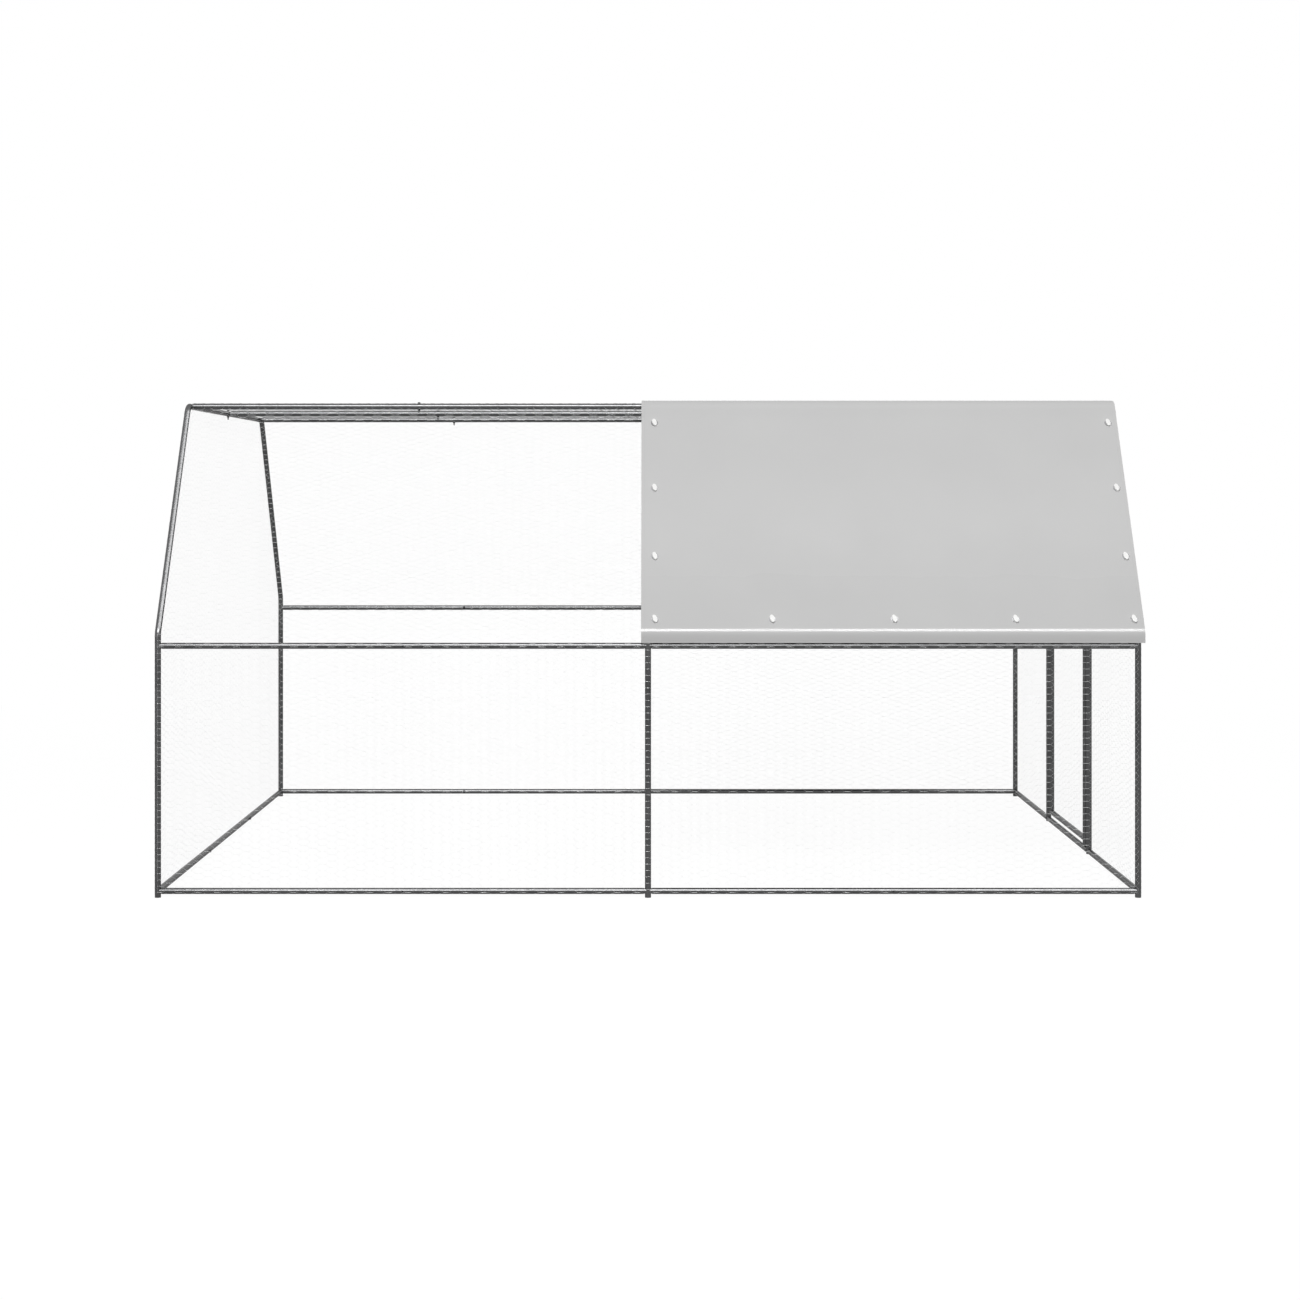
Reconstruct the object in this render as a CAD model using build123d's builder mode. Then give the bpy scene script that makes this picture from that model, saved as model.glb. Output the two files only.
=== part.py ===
from build123d import *
import math
import os

os.makedirs("parts", exist_ok=True)

# Walk-in chicken cage of plug-together steel tube, covered with hexagonal wire net.
# X runs along the cage with the door at the +X end, Y runs from front to back, Z is up.

# Overall size
cage_length = 4000.0  # over the outer faces of the end posts
cage_depth = 3000.0
sill_height = 26.0  # centre line of the bottom rails above the ground
eave_height = 1020.0  # centre line of the eave rails
bend_rise = 53.0  # from the eave rails up to the bend where the posts lean inwards
top_height = 2015.0  # centre line of the crossbars
top_width = 1800.0  # between the two upper bends
top_rail_inset = 40.0  # the outer top rails stand this far inside the upper bends
bend_radius = 60.0

# Steel tube and the way it plugs together
tube_diameter = 25.0
tube_wall = 1.2
plug_length = 60.0  # reduced end that slides into the next tube
plug_clearance = 0.3  # all round, between a plug and the tube around it
end_gap = 0.4  # between the end of a tube and the shoulder that it meets
neck = 4.0  # bare neck of a welded stub, between a post and its rail
post_lean = 80.0  # straight length of a post above its bend
crossbar_setback = 60.0  # from an outer top rail to the end of the crossbar
weld_gap = 0.1  # between a coped end and the tube that it is welded to

# Bolts at the splices
bolt_diameter = 6.0
bolt_hole_diameter = 6.6
bolt_flange_diameter = 13.0
bolt_flange_height = 1.6
bolt_head_flats = 10.0
bolt_head_height = 4.2
bolt_tail = 10.0  # thread left showing under the nut
bolt_tip = 0.4  # a level bolt ends this far inside the outer face of its tube
bolt_seat = 0.1  # between the tube and the flange or the nut
nut_flats = 10.0
nut_height = 5.0

# Door in the right end
door_reveal = 79.0  # from a door post to the door stile beside it, between centres
door_lift = 44.0  # from the sill to the bottom rail of the door, between centres
door_heel_gap = 2.0  # between the sill and the heel of the hinge stile
door_drop = 50.0  # from the crossbar to the top rail of the door, between centres
hinge_inset = 260.0  # from the bottom and top rails of the door to its hinges
hinge_barrel_diameter = 16.0
hinge_barrel_length = 30.0
hinge_pin_diameter = 8.0
hinge_pin_length = 24.0
hinge_clearance = 0.08
hinge_gap = 0.3  # between the two barrels of a hinge
hinge_leaf_thickness = 4.0
hinge_leaf_height = 26.0

# Slide bolt of the door
latch_plate_thickness = 3.0
latch_plate_height = 36.0
latch_rod_diameter = 10.0
latch_rod_standoff = 8.0  # from the plate to the centre line of the rod
latch_rod_clearance = 0.08
latch_loop_width = 10.0
latch_loop_wall = 4.0
latch_tip = 8.0  # the drawn rod stands this far past the stile's centre line
latch_knob_diameter = 12.0
latch_knob_reach = 20.0
latch_knob_play = 3.0  # left between the knob and a loop at either end of the travel
keeper_clearance = 1.2  # all round, between the rod and the square eye of the keeper
keeper_plate_length = 30.0

# Hexagonal wire net
net_thickness = 1.6
net_strand = 3.0
net_gap = 0.3  # between a net and what it lies on
net_columns = 5  # columns of hexagons in a quarter of the cage
net_row = 127.0
net_twist_share = 0.55  # twisted side of a hexagon, as a share of the column pitch
net_selvedge = 5.0
net_overlap = 2.5  # a net's edge lies this far past the middle of its tube, or short of it
net_bend_reach = 15.0  # and this far onto a bend of the hoops
net_least_gap = 400.0  # smaller cut-off gaps at the edges are left closed

# Roof cover over the right bay
cover_thickness = 1.2
cover_clearance = 0.3  # between the bolt heads and the cover
cover_left_overhang = 26.0
cover_right_overhang = 25.5
cover_flap = 39.0  # hangs down below the bend of the posts
eyelet_low = 52.0  # lowest row of eyelets, up the slope from the lower bend
eyelet_high = 100.0  # highest row, down the slope from the upper bend
eyelet_steps = (0.0, 0.308, 0.656, 1.0)  # the rows, as shares of the way between those two
eyelet_shares = (0.0, 0.245, 0.5, 0.753, 1.0)  # the lowest row, as shares of its length
eyelet_left = 28.0
eyelet_right = 13.5  # eyelets of the right edge, inside the line of the end posts
eyelet_top_count = 4
eyelet_top_margin = 0.75  # beside the outer eyelets of the flat top, as a share of their spacing
eyelet_diameter = 30.0
eyelet_bore = 16.0
eyelet_wall = 1.2
eyelet_clearance = 0.3
toggle_length = 36.0
toggle_width = 20.0
toggle_height = 7.0
toggle_edge = 2.5
toggle_tilt = 15.0
toggle_stem_diameter = 7.0
toggle_stem_drop = 3.0  # the stem ends this far under the cover

# Worked out from the sizes above
tube_radius = tube_diameter / 2
bore_radius = tube_radius - tube_wall
plug_radius = bore_radius - plug_clearance
plug_bore = plug_radius - tube_wall
post_x = cage_length / 2 - tube_radius
wall_y = cage_depth / 2 - tube_radius
bend_height = eave_height + bend_rise
top_y = top_width / 2
top_rail_y = top_y - top_rail_inset
crossbar_y = top_rail_y - crossbar_setback
rafter_bolt_y = crossbar_y - plug_length / 2
door_post_y = wall_y / 3
stile_y = door_post_y - door_reveal
hinge_y = -(door_post_y - door_reveal / 2)
door_bottom = sill_height + door_lift
door_top = top_height - door_drop
hinge_heights = (door_bottom + hinge_inset, door_top - hinge_inset)
slope = math.degrees(math.atan2(top_height - bend_height, wall_y - top_y))
lean = 90.0 - slope
slope_cos = math.cos(math.radians(slope))
slope_sin = math.sin(math.radians(slope))
slope_length = math.hypot(top_height - bend_height, wall_y - top_y)
lower_bend = bend_radius * math.tan(math.radians(lean / 2))  # from the corner to the arc's end
upper_bend = bend_radius * math.tan(math.radians(slope / 2))
rail_end = tube_radius + neck
net_face = tube_radius + net_gap
bolt_top = bolt_seat + bolt_flange_height + bolt_head_height
cover_face = tube_radius + bolt_top + cover_clearance
cover_outside = cover_face + cover_thickness
sides = {"front": -1, "back": 1}
hoops = {"left": -post_x, "middle": 0.0, "right": post_x}
hoop_stubs = {"left": (1,), "middle": (-1, 1), "right": (-1,)}
hoop_insides = {"left": (1, 0, 0), "middle": (-1, 0, 0), "right": (-1, 0, 0)}
bays = {"left": -post_x, "right": 0.0}


def keep(builder, name):
    """Name a finished piece and write it."""
    builder.part.label = name
    export_step(builder.part, f"parts/{name}.step", write_pcurves=False)


# Tubes

UP = (0, 0, 1)


def tube(plane, outside, inside, length):
    """Add a straight tube that starts on the plane and runs along its normal."""
    with BuildSketch(plane) as section:
        Circle(outside)
        Circle(inside, mode=Mode.SUBTRACT)
    extrude(section.sketch, amount=length)


def tube_line(start, direction, length, splices=(), bolt_way=UP):
    """Add tubes in line, each plugged into the one before and drilled there for a bolt that lies one way."""
    line = Plane(origin=start, z_dir=direction)
    cuts = [splice + plug_length / 2 for splice in splices]
    starts = [0.0] + [cut + end_gap for cut in cuts]
    stops = cuts + [length]
    for first, last in zip(starts, stops):
        tube(line.offset(first), tube_radius, bore_radius, last - first)
    for shoulder in starts[1:]:
        tube(line.offset(shoulder), tube_radius, plug_bore, tube_wall)
        tube(line.offset(shoulder - plug_length), plug_radius, plug_bore, plug_length)
    for splice in splices:
        bolt_hole(line.offset(splice).origin, bolt_way)


def bolt_hole(place, bolt_way=UP):
    """Drill the part through a splice, the way that its bolt lies."""
    with BuildSketch(Plane(origin=place, z_dir=bolt_way)) as hole:
        Circle(bolt_hole_diameter / 2)
    extrude(hole.sketch, amount=tube_diameter, both=True, mode=Mode.SUBTRACT)


def stub(place, direction, along):
    """Plug for a rail, saddled into the wall of the tube that runs along the other direction."""
    line = Plane(origin=place, z_dir=direction)
    seat = Plane(origin=Vector(place) - Vector(along) * tube_diameter, z_dir=along)
    with BuildPart() as plug:
        with BuildSketch(line):
            Circle(plug_radius)
        extrude(amount=rail_end + plug_length)
        with BuildSketch(line.offset(tube_radius)):
            Circle(plug_bore)
        extrude(amount=neck + plug_length, mode=Mode.SUBTRACT)
        with BuildSketch(seat):
            Circle(tube_radius - tube_wall / 2)
        extrude(amount=2 * tube_diameter, mode=Mode.SUBTRACT)
    return plug.part


def bent_tube(first, corner, last):
    """Add a tube with one bend, open at its first end and reduced to a plug past its last."""
    first, corner, last = Vector(first), Vector(corner), Vector(last)
    rise = (corner - first).normalized()
    along = (last - corner).normalized()
    web = last - along * tube_wall
    for end, radius, mode in ((last, tube_radius, Mode.ADD), (web, bore_radius, Mode.SUBTRACT)):
        with BuildLine() as spine:
            FilletPolyline(first, corner, end, radius=bend_radius)
        with BuildSketch(Plane(origin=first, z_dir=rise)) as section:
            Circle(radius)
        sweep(section.sketch, path=spine.line, mode=mode)
    tube(Plane(origin=last, z_dir=along), plug_radius, plug_bore, plug_length)
    with BuildSketch(Plane(origin=web, z_dir=along)) as hole:
        Circle(plug_bore)
    extrude(hole.sketch, amount=tube_wall, mode=Mode.SUBTRACT)


# Hoops: two posts, two rafters and a crossbar in line at each end and in the middle

for side, way in sides.items():
    inward = (0, -way, 0)
    for hoop, x in hoops.items():
        foot = (x, way * wall_y, 0)
        elbow = (x, way * wall_y, bend_height)
        tip_y = way * (wall_y - post_lean * slope_cos)
        tip = (x, tip_y, bend_height + post_lean * slope_sin)
        with BuildPart() as post:
            bent_tube(foot, elbow, tip)
            for height in (sill_height, eave_height):
                for direction in hoop_stubs[hoop]:
                    add(stub((x, way * wall_y, height), (direction, 0, 0), UP))
            if hoop != "middle":
                add(stub((x, way * wall_y, sill_height), inward, UP))
        keep(post, f"post_{side}_{hoop}")

        seat = post_lean + end_gap
        start = (x, way * (wall_y - seat * slope_cos), bend_height + seat * slope_sin)
        bend = (x, way * top_y, top_height)
        end = (x, way * crossbar_y, top_height)
        with BuildPart() as rafter:
            bent_tube(start, bend, end)
            for direction in hoop_stubs[hoop]:
                add(stub((x, way * top_rail_y, top_height), (direction, 0, 0), inward))
            bolt_hole((x, way * rafter_bolt_y, top_height), hoop_insides[hoop])
        keep(rafter, f"rafter_{side}_{hoop}")

for hoop, x in hoops.items():
    crossbar_end = crossbar_y - end_gap
    with BuildPart() as crossbar:
        tube_line((x, -crossbar_end, top_height), (0, 1, 0), 2 * crossbar_end, (crossbar_end,))
        for direction in hoop_stubs[hoop]:
            add(stub((x, 0, top_height), (direction, 0, 0), (0, 1, 0)))
        if hoop == "right":
            for way in sides.values():
                add(stub((x, way * door_post_y, top_height), (0, 0, -1), (0, 1, 0)))
        for way in sides.values():
            bolt_hole((x, way * rafter_bolt_y, top_height), hoop_insides[hoop])
    keep(crossbar, f"crossbar_{hoop}")

# Rails along the cage: two tubes to a bay, spliced in the middle of the bay

TO_BACK = (0, 1, 0)
TO_FRONT = (0, -1, 0)
TO_RIGHT = (1, 0, 0)

rail_lines = {
    "sill_front": (-wall_y, sill_height, TO_BACK),
    "sill_back": (wall_y, sill_height, TO_FRONT),
    "eave_rail_front": (-wall_y, eave_height, TO_BACK),
    "eave_rail_back": (wall_y, eave_height, TO_FRONT),
    "top_rail_front": (-top_rail_y, top_height, UP),
    "top_rail_middle": (0.0, top_height, UP),
    "top_rail_back": (top_rail_y, top_height, UP),
}
rail_length = post_x - 2 * rail_end
upright_bolts = []
level_bolts = []
for line, (y, z, bolt_way) in rail_lines.items():
    for bay, x in bays.items():
        with BuildPart() as rail:
            tube_line((x + rail_end, y, z), (1, 0, 0), rail_length, (rail_length / 2,), bolt_way)
        keep(rail, f"{line}_{bay}")
        splice = Plane(origin=(x + post_x / 2, y, z), z_dir=bolt_way)
        (upright_bolts if bolt_way == UP else level_bolts).append(splice.location)

# Sills across the ends: three tubes, spliced on the left and standing between posts on the right

sill_start = -wall_y + rail_end
sill_length = -2 * sill_start
sill_splices = (-door_post_y - sill_start, door_post_y - sill_start)
with BuildPart() as left_sill:
    tube_line((-post_x, sill_start, sill_height), (0, 1, 0), sill_length, sill_splices, TO_RIGHT)
keep(left_sill, "sill_left_end")

side_sill = wall_y - door_post_y - 2 * rail_end
middle_sill = 2 * (door_post_y - rail_end)
with BuildPart() as right_sill:
    for start, length in (
        (sill_start, side_sill),
        (-door_post_y + rail_end, middle_sill),
        (door_post_y + rail_end, side_sill),
    ):
        tube_line((post_x, start, sill_height), (0, 1, 0), length)
keep(right_sill, "sill_right_end")

# Door posts: stand in the right sill and hang from stubs under the crossbar

door_post_foot = sill_height - tube_radius
door_post_length = top_height - rail_end - door_post_foot
for side, way in sides.items():
    y = way * door_post_y
    with BuildPart() as door_post:
        tube_line((post_x, y, door_post_foot), UP, door_post_length)
        for direction in (-1, 1):
            add(stub((post_x, y, sill_height), (0, direction, 0), UP))
    keep(door_post, f"door_post_{side}")

# Bolts of all the splices: upright with a nut below in the top, and level from inside the cage in the walls
# and at the ends of the crossbars

for way in sides.values():
    splice = Plane(origin=(-post_x, way * door_post_y, sill_height), z_dir=TO_RIGHT)
    level_bolts.append(splice.location)
for hoop, x in hoops.items():
    upright_bolts.append(Plane(origin=(x, 0, top_height)).location)
    for way in sides.values():
        splice = Plane(origin=(x, way * rafter_bolt_y, top_height), z_dir=hoop_insides[hoop])
        level_bolts.append(splice.location)

seat = tube_radius + bolt_seat


def flanged_bolt(reach):
    """Bolt with its flange on the tube, whose shank goes this far from the flange."""
    with BuildPart() as bolt:
        with BuildSketch(Plane.XY.offset(seat)):
            Circle(bolt_flange_diameter / 2)
        extrude(amount=bolt_flange_height)
        with BuildSketch(Plane.XY.offset(seat + bolt_flange_height)):
            RegularPolygon(bolt_head_flats / 2, 6, major_radius=False)
        extrude(amount=bolt_head_height)
        with BuildSketch(Plane.XY.offset(seat)):
            Circle(bolt_diameter / 2)
        extrude(amount=-reach)
    return bolt.part


with BuildPart() as nut:
    with BuildSketch(Plane.XY.offset(-seat)):
        RegularPolygon(nut_flats / 2, 6, major_radius=False)
        Circle(bolt_hole_diameter / 2, mode=Mode.SUBTRACT)
    extrude(amount=-nut_height)
with BuildPart() as splice_bolts:
    with Locations(*upright_bolts):
        add(flanged_bolt(2 * seat + nut_height + bolt_tail))
    with Locations(*level_bolts):
        add(flanged_bolt(seat + tube_radius - bolt_tip))
keep(splice_bolts, "splice_bolts")
with BuildPart() as splice_nuts:
    with Locations(*upright_bolts):
        add(nut.part)
keep(splice_nuts, "splice_nuts")

# Door: two stiles with three rails coped and welded between them

stile_top = door_top + tube_radius
stile_feet = {
    "door_hinge_stile": (-stile_y, sill_height + tube_radius + door_heel_gap),
    "door_latch_stile": (stile_y, door_bottom - tube_radius),
}
for name, (y, foot) in stile_feet.items():
    with BuildPart() as stile:
        tube_line((post_x, y, foot), UP, stile_top - foot)
    keep(stile, name)

door_rails = {
    "door_bottom_rail": door_bottom,
    "door_middle_rail": eave_height,
    "door_top_rail": door_top,
}
for name, height in door_rails.items():
    with BuildPart() as door_rail:
        tube_line((post_x, -stile_y, height), (0, 1, 0), 2 * stile_y)
        for way in sides.values():
            with Locations((post_x, way * stile_y, height)):
                Cylinder(tube_radius + weld_gap, 2 * tube_diameter, mode=Mode.SUBTRACT)
    keep(door_rail, name)

# Hinges: a barrel with a pin welded to the post, and a hollow barrel welded to the stile above it


def hinge_leaf(height, way):
    """Add the plate from a barrel to its tube, coped to the tube, one way or the other along Y."""
    reach = door_reveal / 2
    with Locations((post_x, hinge_y + way * reach / 2, height)):
        Box(hinge_leaf_thickness, reach, hinge_leaf_height)
    with Locations((post_x, hinge_y + way * reach, height)):
        Cylinder(tube_radius + weld_gap, hinge_barrel_length, mode=Mode.SUBTRACT)


with BuildPart() as hinge_pins:
    for height in hinge_heights:
        with BuildSketch(Plane(origin=(post_x, hinge_y, height))):
            Circle(hinge_barrel_diameter / 2)
        extrude(amount=-hinge_barrel_length)
        with BuildSketch(Plane(origin=(post_x, hinge_y, height))):
            Circle(hinge_pin_diameter / 2)
        extrude(amount=hinge_pin_length)
        hinge_leaf(height - hinge_barrel_length / 2, -1)
keep(hinge_pins, "hinge_pins")

with BuildPart() as hinge_sockets:
    for height in hinge_heights:
        mouth = Plane(origin=(post_x, hinge_y, height + hinge_gap))
        with BuildSketch(mouth):
            Circle(hinge_barrel_diameter / 2)
        extrude(amount=hinge_barrel_length)
        hinge_leaf(height + hinge_gap + hinge_barrel_length / 2, 1)
        with BuildSketch(mouth):
            Circle(hinge_pin_diameter / 2 + hinge_clearance)
        extrude(amount=hinge_pin_length, mode=Mode.SUBTRACT)
keep(hinge_sockets, "hinge_sockets")

# Slide bolt: a guide plate over the middle rail of the door, a rod with a knob, and a keeper

plate_x = post_x + net_face + net_thickness + net_gap
rod_x = plate_x + latch_plate_thickness + latch_rod_standoff
rod_radius = latch_rod_diameter / 2
latch_travel = door_reveal  # the rod goes as far as the keeper stands from the stile
loop_depth = latch_rod_standoff + rod_radius + latch_loop_wall
loop_height = latch_rod_diameter + 2 * latch_loop_wall
loop_spacing = latch_travel + latch_knob_diameter + latch_loop_width + 2 * latch_knob_play
knob_y = stile_y - loop_spacing + latch_loop_width / 2 + latch_knob_play + latch_knob_diameter / 2
rod_tail = stile_y - loop_spacing - latch_travel - latch_loop_width
keeper_eye = latch_rod_diameter + 2 * keeper_clearance


def latch_plate(y_from, y_to):
    """Add a plate against the net, at the height of the door's middle rail."""
    with Locations((plate_x + latch_plate_thickness / 2, (y_from + y_to) / 2, eave_height)):
        Box(latch_plate_thickness, y_to - y_from, latch_plate_height)


def latch_block(y):
    """Add a block on a latch plate, for the rod to run through."""
    with Locations((plate_x + latch_plate_thickness + loop_depth / 2, y, eave_height)):
        Box(loop_depth, latch_loop_width, loop_height)


with BuildPart() as latch_guide:
    latch_plate(stile_y - loop_spacing - latch_loop_width, stile_y + latch_loop_width / 2)
    for y in (stile_y - loop_spacing, stile_y):
        latch_block(y)
        with BuildSketch(Plane(origin=(rod_x, y, eave_height), z_dir=(0, 1, 0))):
            Circle(rod_radius + latch_rod_clearance)
        extrude(amount=latch_loop_width, both=True, mode=Mode.SUBTRACT)
keep(latch_guide, "latch_guide")

with BuildPart() as latch_bolt:
    with BuildSketch(Plane(origin=(rod_x, rod_tail, eave_height), z_dir=(0, 1, 0))):
        Circle(rod_radius)
    extrude(amount=stile_y + latch_tip - rod_tail)
    chamfer(latch_bolt.edges().filter_by(GeomType.CIRCLE), rod_radius / 4)
    with BuildSketch(Plane(origin=(rod_x, knob_y, eave_height), z_dir=(1, 0, 0))):
        Circle(latch_knob_diameter / 2)
    extrude(amount=latch_knob_reach)
    fillet(latch_bolt.faces().sort_by(Axis.X)[-1].edges(), latch_knob_diameter / 4)
keep(latch_bolt, "latch_bolt")

with BuildPart() as latch_keeper:
    latch_plate(door_post_y - keeper_plate_length / 2, door_post_y + keeper_plate_length / 2)
    latch_block(door_post_y)
    with Locations((rod_x, door_post_y, eave_height)):
        Box(keeper_eye, 2 * latch_loop_width, keeper_eye, mode=Mode.SUBTRACT)
keep(latch_keeper, "latch_keeper")

# Nets: flat panels of hexagonal gaps on the outer side of the tubes

net_pitch = post_x / 2 / net_columns
net_twist = net_pitch * net_twist_share


def cut_off(points, start, end, margin):
    """Keep the part of a polygon that lies on the left of an edge, by at least the margin."""
    edge = (Vector(end) - Vector(start)).normalized()
    kept = []
    for here, there in zip(points, points[1:] + points[:1]):
        depth_here = edge.cross(here - Vector(start)).Z - margin
        depth_there = edge.cross(there - Vector(start)).Z - margin
        if depth_here >= 0:
            kept.append(here)
        if depth_here * depth_there < 0:
            kept.append(here + (there - here) * (depth_here / (depth_here - depth_there)))
    return kept


def hexagon(centre):
    """Corners of one gap of the net, lying along X."""
    high = net_row / 2
    run = net_pitch - net_twist
    tip_back = net_strand / 2 * math.hypot(run, high) / high
    tip = net_pitch - net_twist / 2 - tip_back
    shoulder = tip - (high - net_strand / 2) * run / high
    top = high - net_strand / 2
    corners = ((tip, 0), (shoulder, top), (-shoulder, top), (-tip, 0), (-shoulder, -top), (shoulder, -top))
    return [Vector(centre) + Vector(corner) for corner in corners]


def net(name, plane, outline, anchor=(0.0, 0.0)):
    """One panel: its outline runs anticlockwise on the plane, and a gap is centred on the anchor."""
    reach_x = [abs(x - anchor[0]) for x, y in outline]
    reach_y = [abs(y - anchor[1]) for x, y in outline]
    columns = math.ceil(max(reach_x) / net_pitch) + 1
    rows = math.ceil(max(reach_y) / net_row) + 1
    edges = list(zip(outline, outline[1:] + outline[:1]))
    gaps = []
    for column in range(-columns, columns + 1):
        for row in range(-rows, rows + 1):
            height = (row + 0.5 * (column % 2)) * net_row
            corners = hexagon((anchor[0] + column * net_pitch, anchor[1] + height))
            for start, end in edges:
                corners = cut_off(corners, start, end, net_selvedge) if corners else corners
            if len(corners) > 2:
                gap = Wire.make_polygon(corners)
                if Face(gap).area > net_least_gap:
                    gaps.append(gap)
    panel = plane.from_local_coords(Face(Wire.make_polygon([Vector(point) for point in outline]), gaps))
    with BuildPart() as sheet:
        extrude(panel, amount=net_thickness, dir=plane.z_dir, clean=False)
    keep(sheet, name)
    print(name, "gaps:", len(gaps))


def slope_plane(way, offset):
    """Plane on a roof slope, with its origin at the bend of the posts and Y up the slope."""
    normal = Vector(0, way * slope_sin, slope_cos)
    origin = Vector(0, way * wall_y, bend_height) + normal * offset
    return Plane(origin=origin, x_dir=(-way, 0, 0), z_dir=normal)


def oblong(x_from, x_to, y_from, y_to):
    """Corners of an upright rectangle, anticlockwise."""
    return [(x_from, y_from), (x_to, y_from), (x_to, y_to), (x_from, y_to)]


net_foot = sill_height - net_overlap
net_clear = net_overlap + bolt_flange_diameter / 2
net_x = post_x - net_clear
lower_end = lower_bend - net_bend_reach
upper_end = upper_bend - net_bend_reach
for side, way in sides.items():
    wall = Plane(origin=(0, way * (wall_y + net_face), 0), x_dir=(-way, 0, 0), z_dir=(0, way, 0))
    net(f"wall_net_{side}", wall, oblong(-net_x, net_x, net_foot, bend_height - lower_end))
    slope_net = oblong(-net_x, net_x, lower_end, slope_length - upper_end)
    net(f"slope_net_{side}", slope_plane(way, net_face), slope_net)
    top = Plane(origin=(0, 0, top_height + net_face), x_dir=(-way, 0, 0), z_dir=UP)
    top_net = oblong(-net_x, net_x, upper_end - top_y, -net_clear)
    net(f"top_net_{side}", top, top_net, (0.0, -rafter_bolt_y))

left_end = Plane(origin=(-post_x - net_face, 0, 0), x_dir=(0, -1, 0), z_dir=(-1, 0, 0))
seam = eave_height - net_overlap
net("end_net_left_lower", left_end, oblong(-wall_y, wall_y, net_foot, seam))
gable = [(-wall_y, seam + net_gap), (wall_y, seam + net_gap), (wall_y, bend_height)]
gable += [(top_y, top_height), (-top_y, top_height), (-wall_y, bend_height)]
net("end_net_left_upper", left_end, gable)

right_end = Plane(origin=(post_x + net_face, 0, 0), x_dir=(0, 1, 0), z_dir=(1, 0, 0))
front_part = [(-wall_y, net_foot), (-door_post_y, net_foot), (-door_post_y, top_height)]
front_part += [(-top_y, top_height), (-wall_y, bend_height)]
net("end_net_right_front", right_end, front_part)
back_part = [(door_post_y, net_foot), (wall_y, net_foot), (wall_y, bend_height)]
back_part += [(top_y, top_height), (door_post_y, top_height)]
net("end_net_right_back", right_end, back_part)
net("door_net", right_end, oblong(-stile_y, stile_y, door_bottom, door_top))

# Roof cover: a sheet over the right bay, held by toggles in a row of eyelets along its edges


def cover_line(offset):
    """Line of the hoops, that far outside their middle, from the front flap to the back one."""
    eave = bend_height + offset * math.tan(math.radians(lean / 2))
    spread = top_y + offset * math.tan(math.radians(slope / 2))
    side_y = wall_y + offset
    half = [(side_y, bend_height - cover_flap), (side_y, eave), (spread, top_height + offset)]
    return [(-y, z) for y, z in half] + half[::-1]


cover_left = -cover_left_overhang
cover_width = post_x + cover_left_overhang + cover_right_overhang
eyelet_spread = post_x - eyelet_right - eyelet_left
eyelet_xs = [eyelet_left + share * eyelet_spread for share in eyelet_shares]
eyelet_climb = slope_length - eyelet_low - eyelet_high
eyelet_top_spacing = top_width / (eyelet_top_count - 1 + 2 * eyelet_top_margin)
eyelet_places = []
for way in sides.values():
    for step in eyelet_steps:
        for x in eyelet_xs if step == 0 else (eyelet_xs[0], eyelet_xs[-1]):
            height = eyelet_low + step * eyelet_climb
            eyelet_places.append(slope_plane(way, cover_face) * Pos(-way * x, height))
for step in range(eyelet_top_count):
    for x in (eyelet_xs[0], eyelet_xs[-1]):
        y = (step - (eyelet_top_count - 1) / 2) * eyelet_top_spacing
        eyelet_places.append(Plane.XY.offset(top_height + cover_face) * Pos(x, y))

eyelet_radius = eyelet_bore / 2 + eyelet_wall
inner_line = cover_line(cover_face)
outer_line = cover_line(cover_outside)
with BuildPart() as roof_cover:
    with BuildSketch(Plane.YZ.offset(cover_left)):
        with BuildLine():
            FilletPolyline(*inner_line, radius=bend_radius + cover_face)
            FilletPolyline(*outer_line, radius=bend_radius + cover_outside)
            Line(inner_line[0], outer_line[0])
            Line(inner_line[-1], outer_line[-1])
        make_face()
    extrude(amount=cover_width)
    with Locations(*eyelet_places):
        Cylinder(eyelet_radius + eyelet_clearance, 4 * cover_thickness, mode=Mode.SUBTRACT)
keep(roof_cover, "roof_cover")

rim = cover_thickness + bolt_seat
with BuildPart() as eyelet:
    tube(Plane.XY.offset(rim), eyelet_diameter / 2, eyelet_bore / 2, eyelet_wall)
    tube(Plane.XY, eyelet_radius, eyelet_bore / 2, rim)
head = rim + eyelet_wall + bolt_seat
with BuildPart() as toggle:
    with BuildSketch(Plane.XY.offset(head)):
        Ellipse(toggle_width / 2, toggle_length / 2, rotation=toggle_tilt)
    extrude(amount=toggle_height)
    fillet(toggle.edges().group_by(Axis.Z)[-1], toggle_edge)
    with BuildSketch(Plane.XY.offset(-toggle_stem_drop)):
        Circle(toggle_stem_diameter / 2)
    extrude(amount=head + toggle_stem_drop)
for name, fitting in (("cover_eyelets", eyelet), ("cover_toggles", toggle)):
    with BuildPart() as group:
        with Locations(*eyelet_places):
            add(fitting.part)
    keep(group, name)
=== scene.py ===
import math

import bmesh
import bpy
from mathutils import Matrix, Vector


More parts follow.
